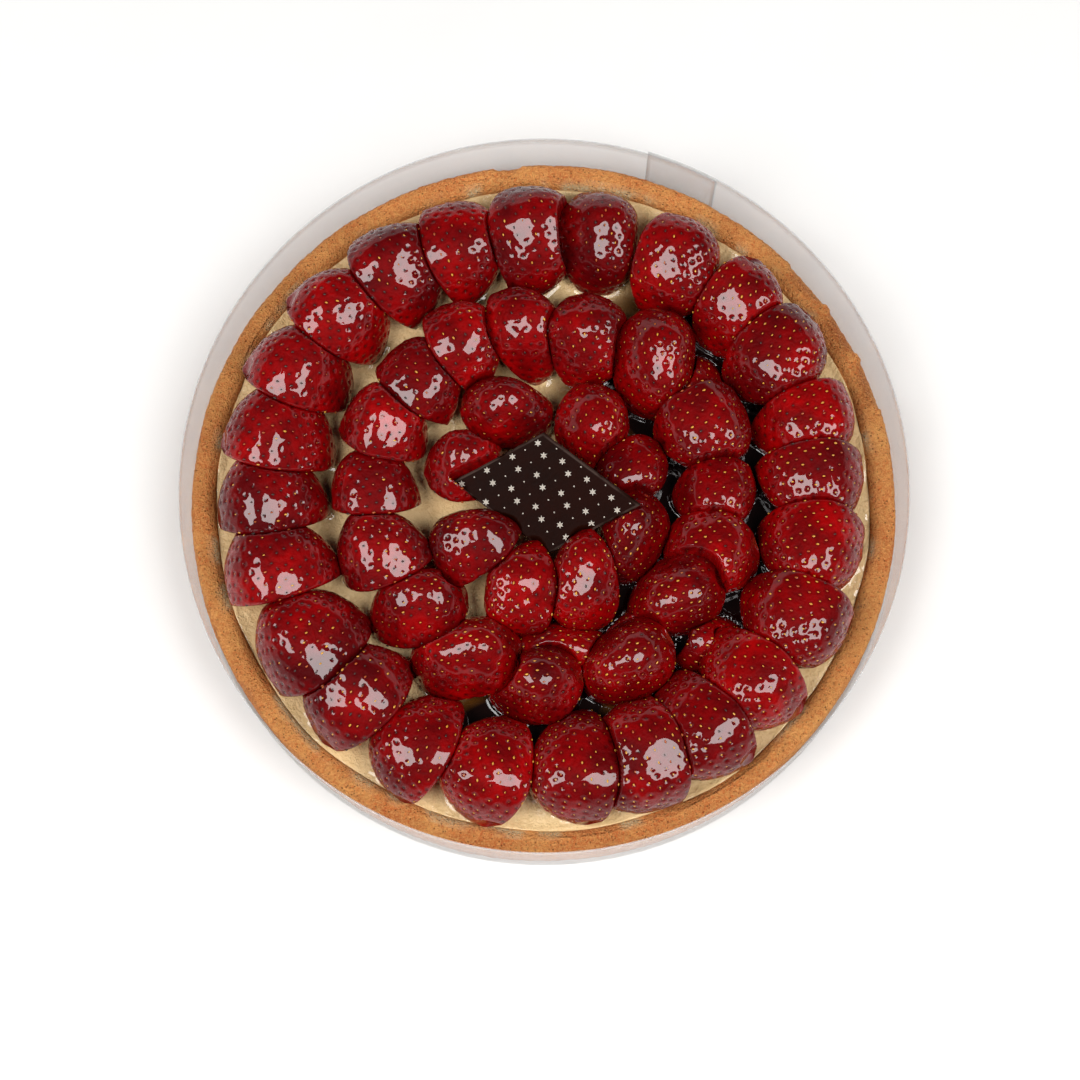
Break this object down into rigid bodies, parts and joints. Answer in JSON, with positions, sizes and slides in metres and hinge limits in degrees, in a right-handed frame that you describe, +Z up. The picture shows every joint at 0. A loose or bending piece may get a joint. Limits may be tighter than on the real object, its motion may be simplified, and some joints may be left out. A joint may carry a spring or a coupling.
{
  "type": "strawberry tart",
  "caption": "Round fruit tart: a straight-sided pastry shell filled with cream, rings of overlapping halved strawberries, a chocolate plaque and a clear film collar.",
  "frame": {"origin": "middle of the tart's footprint, on the surface that it stands on", "axes": "+Z up through the tart; -Y is the side nearest the viewer; +X is to the viewer's right"},
  "size_m": [0.2402, 0.2398, 0.05],
  "materials": {
    "shortcrust": "baked, matt and sandy",
    "pastry_cream": "smooth, lightly glazed",
    "strawberry": "glazed fruit, high gloss",
    "chocolate": "satin",
    "clear_film": "clear, gloss"
  },
  "bodies": {
    "root": {"crust": "shortcrust", "cream": "pastry_cream", "collar": "clear_film", "plaque": "chocolate", "berry_under_01": "strawberry", "berry_under_02": "strawberry", "berry_under_03": "strawberry", "berry_under_04": "strawberry", "berry_outer_01": "strawberry", "berry_outer_02": "strawberry", "berry_outer_03": "strawberry", "berry_outer_04": "strawberry", "berry_outer_05": "strawberry", "berry_outer_06": "strawberry", "berry_outer_07": "strawberry", "berry_outer_08": "strawberry", "berry_outer_09": "strawberry", "berry_outer_10": "strawberry", "berry_outer_11": "strawberry", "berry_outer_12": "strawberry", "berry_outer_13": "strawberry", "berry_outer_14": "strawberry", "berry_outer_15": "strawberry", "berry_outer_16": "strawberry", "berry_outer_17": "strawberry", "berry_outer_18": "strawberry", "berry_outer_19": "strawberry", "berry_outer_20": "strawberry", "berry_outer_21": "strawberry", "berry_outer_22": "strawberry", "berry_outer_23": "strawberry", "berry_outer_24": "strawberry", "berry_middle_01": "strawberry", "berry_middle_02": "strawberry", "berry_middle_03": "strawberry", "berry_middle_04": "strawberry", "berry_middle_05": "strawberry", "berry_middle_06": "strawberry", "berry_middle_07": "strawberry", "berry_middle_08": "strawberry", "berry_middle_09": "strawberry", "berry_middle_10": "strawberry", "berry_middle_11": "strawberry", "berry_middle_12": "strawberry", "berry_middle_13": "strawberry", "berry_middle_14": "strawberry", "berry_middle_15": "strawberry", "berry_middle_16": "strawberry", "berry_inner_01": "strawberry", "berry_inner_02": "strawberry", "berry_inner_03": "strawberry", "berry_inner_04": "strawberry", "berry_inner_05": "strawberry", "berry_inner_06": "strawberry", "berry_inner_07": "strawberry", "berry_inner_08": "strawberry"}
  },
  "joints": []
}
